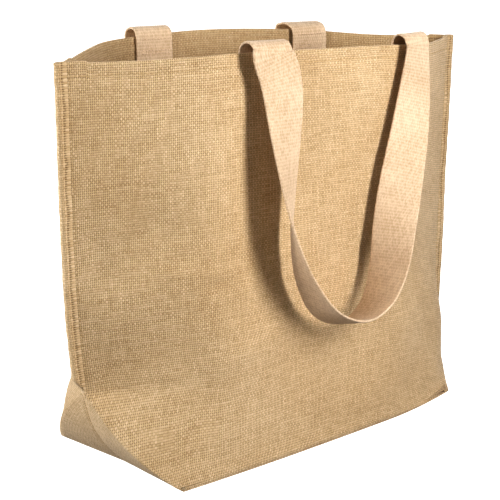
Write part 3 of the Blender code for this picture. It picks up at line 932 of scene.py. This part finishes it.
# ---- loose fibres, in millimetres ----
FIBRE_COUNT = 420
FIBRE_WIDE = 0.11
FIBRE_TAPER = 0.7
FIBRE_STEPS = 4
FIBRE_SIDES = 3
FIBRE_TILT = (0.3, 0.5, 0.81)
FIBRE_ROOT = 0.15
FIBRE_LENGTH = (2.0, 6.5)
FIBRE_INSET = 4
FIBRE_MARGIN = 6
FIBRE_LOW = 60
FIBRE_HIGH = CLOTH_HEIGHT - 6
FIBRE_RIM = CLOTH_HEIGHT - 2.0
FIBRE_SEAM = 3.0
FIBRE_SEAM_LOW = HALF_DEPTH + 20
RIM_SHARE = 0.3
SEAM_SHARE = 0.15
# how a fibre leaves the cloth, and how far it bends along x, y and down
FIBRE_LIFT = (0.12, 0.5)
FIBRE_SPIN = 0.45
FIBRE_FLAT = 0.05
FIBRE_RAISE = 0.4
FIBRE_BEND = ((1, -1.4, 1.4), (1, -1.0, 1.0), (-1, 0, 1.5))


def strand(start, way, length, bend):
    """Points and faces of one thin curved fibre, a closed three-sided tube."""
    points = []
    a = np.cross(way, FIBRE_TILT)
    a /= norm(a)
    b = np.cross(way, a)
    for k in range(FIBRE_STEPS + 1):
        t = k / FIBRE_STEPS
        centre = start + way * length * t + bend * t * t
        points += circle(centre, a, b, FIBRE_WIDE * (1 - FIBRE_TAPER * t), FIBRE_SIDES)
    return points, tube_faces(0, FIBRE_STEPS + 1, FIBRE_SIDES)


def build_fibres(jute):
    """Short stray fibres on the cloth, most of them on the rim and the side seams."""
    draw = random.Random(11)
    rows = []
    half = FLAT_WIDTH / 2
    for _ in range(FIBRE_COUNT):
        face = draw.choice((-1, 1))
        kind = draw.random()
        u = draw.uniform(FIBRE_INSET - half, half - FIBRE_INSET)
        height = draw.uniform(FIBRE_LOW, FIBRE_HIGH)
        if abs(u) > half - max(0.0, HALF_DEPTH - height) - FIBRE_MARGIN:
            continue
        if kind < RIM_SHARE:
            height = FIBRE_RIM
        elif kind < RIM_SHARE + SEAM_SHARE:
            u = draw.choice((-1, 1)) * (half - FIBRE_SEAM)
            height = draw.uniform(FIBRE_SEAM_LOW, FIBRE_HIGH)
        place, normal = cloth_place(face, u, height)
        spin = np.array([draw.gauss(0, 1) for _ in range(3)])
        way = normal * draw.uniform(*FIBRE_LIFT) + spin * FIBRE_SPIN
        if np.dot(way, normal) < FIBRE_FLAT:
            way += normal * FIBRE_RAISE
        way /= norm(way)
        length = draw.uniform(*FIBRE_LENGTH)
        bend = np.array([sign * draw.uniform(low, high) for sign, low, high in FIBRE_BEND])
        rows.append(strand(place - normal * FIBRE_ROOT, way, length, bend))
    points, faces = join_rows(rows)
    return new_object("jute_fibres", points, faces, None, jute)


def set_inputs(node, values):
    """Plain values on the named sockets of a node."""
    for key, value in values.items():
        node.inputs[key].default_value = value


class Nodes:
    """Short names for building a node material."""

    def __init__(self, name):
        self.material = bpy.data.materials.new(name)
        self.material.use_nodes = True
        self.tree = self.material.node_tree
        self.shader = self.tree.nodes["Principled BSDF"]

    def add(self, kind, **facts):
        node = self.tree.nodes.new(kind)
        for key, value in facts.items():
            setattr(node, key, value)
        return node

    def link(self, source, target):
        self.tree.links.new(source, target)

    def put(self, value, target):
        """Link a socket, or set a plain number or vector."""
        if isinstance(value, bpy.types.NodeSocket):
            self.link(value, target)
        else:
            target.default_value = value

    def math(self, operation, first, second=0.0):
        node = self.add("ShaderNodeMath", operation=operation)
        for value, socket in zip((first, second), node.inputs):
            self.put(value, socket)
        return node.outputs[0]

    times = functools.partialmethod(math, "MULTIPLY")
    plus = functools.partialmethod(math, "ADD")
    minus = functools.partialmethod(math, "SUBTRACT")
    over = functools.partialmethod(math, "DIVIDE")

    def cloth(self):
        """The cloth's own coordinates: as a vector, across it and up it."""
        flat = self.add("ShaderNodeUVMap", uv_map="cloth").outputs[0]
        split = self.add("ShaderNodeSeparateXYZ")
        self.link(flat, split.inputs[0])
        return flat, split.outputs[0], split.outputs[1]

    def cell(self, column, row):
        """A tone of its own for each crossing of the threads."""
        node = self.add("ShaderNodeTexWhiteNoise", noise_dimensions="2D")
        self.link(self.point(column, row), node.inputs["Vector"])
        return node.outputs["Value"]

    def bump(self, height, strength, distance):
        node = self.add("ShaderNodeBump")
        set_inputs(node, {"Strength": strength, "Distance": distance})
        self.link(height, node.inputs["Height"])
        self.link(node.outputs[0], self.shader.inputs["Normal"])

    def point(self, x, y, z=0.0):
        node = self.add("ShaderNodeCombineXYZ")
        for value, socket in zip((x, y, z), node.inputs):
            self.put(value, socket)
        return node.outputs[0]

    def noise(self, place, scale, detail=2.0):
        node = self.add("ShaderNodeTexNoise", noise_dimensions="3D")
        self.put(place, node.inputs["Vector"])
        set_inputs(node, {"Scale": scale, "Detail": detail})
        return node.outputs["Fac"]

    def mix(self, share, first, second):
        node = self.add("ShaderNodeMix", data_type="RGBA")
        self.put(share, node.inputs["Factor"])
        for value, socket in ((first, node.inputs[6]), (second, node.inputs[7])):
            self.put((*value, 1.0) if isinstance(value, tuple) else value, socket)
        return node.outputs[2]

    def span(self, value, low, high, to_low=0.0, to_high=1.0):
        node = self.add("ShaderNodeMapRange")
        self.put(value, node.inputs["Value"])
        for number, key in ((low, "From Min"), (high, "From Max"),
                            (to_low, "To Min"), (to_high, "To Max")):
            self.put(number, node.inputs[key])
        return node.outputs["Result"]


# ---- weave of the jute, in metres ----
WARP_PITCH = 0.00169
WEFT_PITCH = 0.00189
WARP_DRIFT = 0.0016
WEFT_DRIFT = 0.0020
WEAVE_RELIEF = 0.0004
# where the inside face starts in the cloth's coordinates; from there on painted shade is mixed in
INSIDE_SHADE_FROM = 1.6
# scales of its noises, per metre or per thread, and the share of each in the tone
DRIFT_SCALE = 30.0
SLUB_RUN = 45.0
SLUB_SCALE = 1.37
FIBRE_ACROSS = 9000.0
FIBRE_ALONG = 700.0
TONE_SHARE = 0.42
FINE_SHARE = 0.35
BROAD_SHARE = 0.33
CELL_SHARE = 0.13
WARP_SHARE = 0.10
# what goes into each span, and half of a thread's width as a share of its pitch
TONE_RANGE = (0.3, 0.7)
WARP_HALF = (0.38, 0.47)
WEFT_HALF = (0.38, 0.49)
SHADE_RANGE = (0.41, 0.93)
# painted shade: heights of the weave over which it darkens to the gap colour
GAP_SHADE_RANGE = (0.15, 1.1)
FINE_RANGE = (0.2, 0.8)
ROUGHNESS = (0.72, 0.92)
# painted shade: share and colour of the dark brown tint over the inside face, standing in for the
# shade inside the bag
INSIDE_SHADE_SHARE = 0.3
INSIDE_SHADE_TINT = (0.26, 0.16, 0.06)


def jute_material(name, tint):
    """Plain-woven jute from the cloth's own coordinates: slubby threads over and under."""
    n = Nodes(name)
    flat, u, v = n.cloth()
    drift_u = n.times(n.minus(n.noise(flat, DRIFT_SCALE), 0.5), WARP_DRIFT)
    other = n.point(n.plus(u, 5.0), v, 2.0)
    drift_v = n.times(n.minus(n.noise(other, DRIFT_SCALE), 0.5), WEFT_DRIFT)
    p = n.over(n.plus(u, drift_u), WARP_PITCH)
    q = n.over(n.plus(v, drift_v), WEFT_PITCH)
    warp, weft = n.math("FLOOR", p), n.math("FLOOR", q)
    fp = n.minus(n.minus(p, warp), 0.5)
    fq = n.minus(n.minus(q, weft), 0.5)
    odd = n.math("FLOORED_MODULO", n.plus(warp, weft), 2.0)
    sign = n.minus(1.0, n.times(odd, 2.0))
    # tone and thickness of each thread, changing slowly along it
    warp_place = n.point(warp, n.times(v, SLUB_RUN), 1.0)
    weft_place = n.point(n.times(u, SLUB_RUN), weft, 9.0)
    warp_tone = n.noise(warp_place, SLUB_SCALE, 2.0)
    weft_tone = n.noise(weft_place, SLUB_SCALE, 2.0)
    warp_half = n.span(warp_tone, *TONE_RANGE, *WARP_HALF)
    weft_half = n.span(weft_tone, *TONE_RANGE, *WEFT_HALF)

    def dome(offset, half):
        share = n.over(offset, half)
        inside = n.minus(1.0, n.times(share, share))
        return n.math("SQRT", n.math("MAXIMUM", inside, 0.0))

    warp_dome = dome(fp, warp_half)
    weft_dome = dome(fq, weft_half)
    warp_over = n.times(sign, n.math("COSINE", n.times(fq, pi)))
    weft_over = n.times(sign, n.math("COSINE", n.times(fp, pi)))
    warp_high = n.plus(n.times(warp_over, 0.5), warp_dome)
    weft_high = n.minus(weft_dome, n.times(weft_over, 0.5))
    height = n.math("MAXIMUM", warp_high, weft_high)
    warp_shows = n.math("GREATER_THAN", warp_high, weft_high)

    def on_top(first, second):
        return n.plus(n.times(first, warp_shows), n.times(second, n.minus(1.0, warp_shows)))

    tone = on_top(warp_tone, weft_tone)
    # fibres that run along the thread on top
    fine_warp = n.noise(n.point(n.times(u, FIBRE_ACROSS), n.times(v, FIBRE_ALONG)), 1.0)
    fine_weft = n.noise(n.point(n.times(u, FIBRE_ALONG), n.times(v, FIBRE_ACROSS)), 1.0)
    fine = on_top(fine_warp, fine_weft)
    broad = n.noise(flat, 9.0, 3.0)
    shade = n.plus(n.times(tone, TONE_SHARE), n.times(fine, FINE_SHARE))
    shade = n.plus(shade, n.times(broad, BROAD_SHARE))
    shade = n.plus(shade, n.times(n.cell(warp, weft), CELL_SHARE))
    shade = n.plus(shade, n.times(warp_shows, WARP_SHARE))
    light, mid, dark, gap_shade = tint
    ramp = n.add("ShaderNodeValToRGB")
    n.link(n.span(shade, *SHADE_RANGE), ramp.inputs[0])
    ramp.color_ramp.elements[0].color = (*dark, 1.0)
    ramp.color_ramp.elements[1].color = (*light, 1.0)
    ramp.color_ramp.elements.new(0.5).color = (*mid, 1.0)
    # painted shade: the lower the weave's surface, the more it takes the dark gap colour, for the
    # shade between the threads
    gap_shade_mix = n.span(height, *GAP_SHADE_RANGE)
    colour = n.mix(gap_shade_mix, gap_shade, ramp.outputs[0])
    # painted shade: the inside face is mixed towards dark brown for the shade inside the bag
    inside = n.span(v, INSIDE_SHADE_FROM, INSIDE_SHADE_FROM + 0.1, 0.0, INSIDE_SHADE_SHARE)
    n.link(n.mix(inside, colour, INSIDE_SHADE_TINT), n.shader.inputs["Base Color"])
    n.bump(n.plus(height, n.times(fine, 0.25)), 0.9, WEAVE_RELIEF)
    n.link(n.span(fine, *FINE_RANGE, *ROUGHNESS), n.shader.inputs["Roughness"])
    set_inputs(n.shader, {"Specular IOR Level": 0.45, "Sheen Weight": 0.2, "Sheen Roughness": 0.5})
    return n.material


# ---- threads of the webbing, in metres and shares of the tone ----
PLY_PITCH = 0.0006
PLY_RELIEF = 0.00015
FUZZ_ACROSS = 2600.0
FUZZ_ALONG = 1100.0
FUZZ_SHARE = 0.55
CROSS_SHARE = 0.2
# painted highlight and shade: share of a lighter and darker checker at the thread crossings
KNOT_HIGHLIGHT_SHARE = 0.05
# painted shade: share of the darkening in the grooves between the rows of ribs
GROOVE_SHADE_SHARE = 0.12
WEB_RANGE = (0.1, 0.66)


def webbing_material(name, light, dark):
    """Undyed cotton webbing: paired threads between the modelled ribs."""
    n = Nodes(name)
    flat, u, v = n.cloth()
    ply = n.math("SINE", n.times(u, 2 * pi / PLY_PITCH))
    row = n.math("COSINE", n.times(v, pi / (RIB_PITCH * MM)))
    column_wide = WEB_WIDTH * MM / COLUMN_COUNT
    turn = n.times(n.plus(u, WEB_WIDTH * MM / 2), pi / column_wide)
    col = n.math("COSINE", turn)
    # painted highlight and shade of the ribs: lighter where the modelled crossings rise, darker
    # where they sink
    knot_highlight = n.times(row, col)
    # painted shade in the grooves between the rows of ribs
    groove = n.minus(1.0, n.times(row, row))
    fuzz = n.noise(n.point(n.times(u, FUZZ_ACROSS), n.times(v, FUZZ_ALONG)), 1.0, 3.0)
    broad = n.noise(flat, 22.0, 3.0)
    shade = n.plus(n.times(fuzz, FUZZ_SHARE), n.times(broad, 1.0 - FUZZ_SHARE))
    cell = n.cell(n.math("FLOOR", n.over(turn, pi)),
                  n.math("FLOOR", n.over(v, RIB_PITCH * MM)))
    shade = n.plus(shade, n.times(n.minus(cell, 0.5), CROSS_SHARE))
    # painted highlight on the raised crossings
    shade = n.plus(shade, n.times(knot_highlight, KNOT_HIGHLIGHT_SHARE))
    # painted shade in the grooves
    shade = n.minus(shade, n.times(groove, GROOVE_SHADE_SHARE))
    n.link(n.mix(n.span(shade, *WEB_RANGE), dark, light), n.shader.inputs["Base Color"])
    n.bump(n.plus(n.times(ply, 0.25), fuzz), 0.5, PLY_RELIEF)
    set_inputs(n.shader, {"Roughness": 0.88, "Specular IOR Level": 0.2, "Sheen Weight": 0.2})
    return n.material


def thread_material(name, light, dark):
    """Sewing thread or loose fibre with a little variation from place to place."""
    n = Nodes(name)
    place = n.add("ShaderNodeTexCoord").outputs["Object"]
    share = n.span(n.noise(place, 380.0), 0.3, 0.7)
    n.link(n.mix(share, dark, light), n.shader.inputs["Base Color"])
    set_inputs(n.shader, {"Roughness": 0.8, "Specular IOR Level": 0.2})
    return n.material


def floor_material(name):
    """Pale floor that glows to the camera alone: the glow adds no light on the bag."""
    n = Nodes(name)
    seen = n.add("ShaderNodeLightPath").outputs["Is Camera Ray"]
    n.link(seen, n.shader.inputs["Emission Strength"])
    set_inputs(n.shader, {"Emission Color": (1.0, 1.0, 1.0, 1.0),
                          "Base Color": (0.3, 0.3, 0.3, 1.0), "Roughness": 0.9})
    return n.material


# light, mid and dark tones of the jute, then painted shade for the gaps between the threads
JUTE_TINT = ((0.86, 0.68, 0.46), (0.68, 0.50, 0.295), (0.48, 0.315, 0.155), (0.16, 0.075, 0.015))
jute = jute_material("jute_weave", JUTE_TINT)
cotton = webbing_material("cotton_webbing_ribbed", (0.80, 0.635, 0.465), (0.46, 0.31, 0.18))
jute_thread = thread_material("jute_thread", (0.64, 0.47, 0.27), (0.50, 0.35, 0.18))
cotton_thread = thread_material("cotton_thread", (0.80, 0.63, 0.47), (0.58, 0.42, 0.30))

bag = build_body(jute)
front_handle, front_length = build_handle("webbing_front", -1, FRONT_HANG, cotton)
rear_handle, rear_length = build_handle("webbing_rear", 1, REAR_HANG, cotton)
stitching = build_sewing(jute_thread)
front_bars = build_bar_stitches("bar_stitches_front", -1, FRONT_HANG, cotton_thread)
rear_bars = build_bar_stitches("bar_stitches_rear", 1, REAR_HANG, cotton_thread)
fibres = build_fibres(jute_thread)

for piece in (bag, front_handle, rear_handle, stitching, front_bars, rear_bars, fibres):
    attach(piece, "root")
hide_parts("bag_body")
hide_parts("handle_front")
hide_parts("handle_rear")

# ---- floor, light and camera ----
FLOOR_HALF = 15.0
FLOOR_LEVEL = -0.0004
floor_mesh = bpy.data.meshes.new("floor")
corners = [(x * FLOOR_HALF, y * FLOOR_HALF, FLOOR_LEVEL)
           for x, y in ((-1, -1), (1, -1), (1, 1), (-1, 1))]
floor_mesh.from_pydata(corners, [], [(0, 1, 2, 3)])
floor = bpy.data.objects.new("floor", floor_mesh)
scene.collection.objects.link(floor)
floor_mesh.materials.append(floor_material("pale_floor"))

AMBIENT = 0.06
WHITE = (1.0, 1.0, 1.0)
MIDDLE = (0.0, 0.0, 0.18)


def lamp(name, place, power, size, target=MIDDLE, spread=180.0, colour=WHITE):
    """Soft light, size wide and tall, that looks at a point."""
    data = bpy.data.lights.new(name, "AREA")
    data.shape = "RECTANGLE"
    data.size, data.size_y = size
    data.energy = power
    data.color = colour
    data.spread = radians(spread)
    made = bpy.data.objects.new(name, data)
    made.location = place
    made.rotation_euler = (Vector(target) - Vector(place)).to_track_quat("-Z", "Y").to_euler()
    scene.collection.objects.link(made)


lamp("key", (0.13, -0.84, 0.54), 2.25, (0.2, 0.7), (0.0, -0.08, 0.36), 94.0, (1.0, 0.985, 0.98))
lamp("side", (-1.5, 0.85, 0.5), 18.0, (1.0, 1.0), (0.0, 0.0, 0.15))
lamp("fill", (-1.1, -0.35, 0.8), 0.85, (0.6, 0.6), (-0.16, -0.08, 0.38), 70.0)
lamp("back", (0.5, 1.7, 0.9), 14.0, (1.2, 1.2))
lamp("right", (1.9, 0.5, 0.7), 11.0, (1.2, 1.2))
lamp("top", (0.0, 0.5, 1.9), 2.0, (1.0, 1.0))
world = bpy.data.worlds.new("studio")
scene.world = world
world.use_nodes = True
sky = world.node_tree.nodes["Background"]
set_inputs(sky, {"Color": (1.0, 1.0, 1.0, 1.0)})
seen = world.node_tree.nodes.new("ShaderNodeLightPath")
strength = world.node_tree.nodes.new("ShaderNodeMapRange")
set_inputs(strength, {"To Min": AMBIENT, "To Max": 1.0})
world.node_tree.links.new(seen.outputs["Is Camera Ray"], strength.inputs["Value"])
world.node_tree.links.new(strength.outputs["Result"], sky.inputs[1])

CAMERA_TURN = radians(-41.2)
CAMERA_TILT = radians(12.26)
CAMERA_AWAY = 1.29005
SENSOR_WIDTH = 36.0
# focal length and width of the image in its own pixels
FOCAL_LENGTH = 1474.96
IMAGE_WIDTH = 500.0
CAMERA_AIM = Vector((-0.03016, -0.00284, 0.15894))
camera_data = bpy.data.cameras.new("camera")
camera_data.sensor_width = SENSOR_WIDTH
camera_data.lens = FOCAL_LENGTH / IMAGE_WIDTH * SENSOR_WIDTH
camera = bpy.data.objects.new("camera", camera_data)
back = Vector((sin(CAMERA_TURN) * cos(CAMERA_TILT),
               -cos(CAMERA_TURN) * cos(CAMERA_TILT), sin(CAMERA_TILT)))
camera.location = CAMERA_AIM + back * CAMERA_AWAY
camera.rotation_euler = (-back).to_track_quat("-Z", "Y").to_euler()
scene.collection.objects.link(camera)
scene.camera = camera
scene.view_settings.view_transform = "Standard"
scene.view_settings.look = "High Contrast"
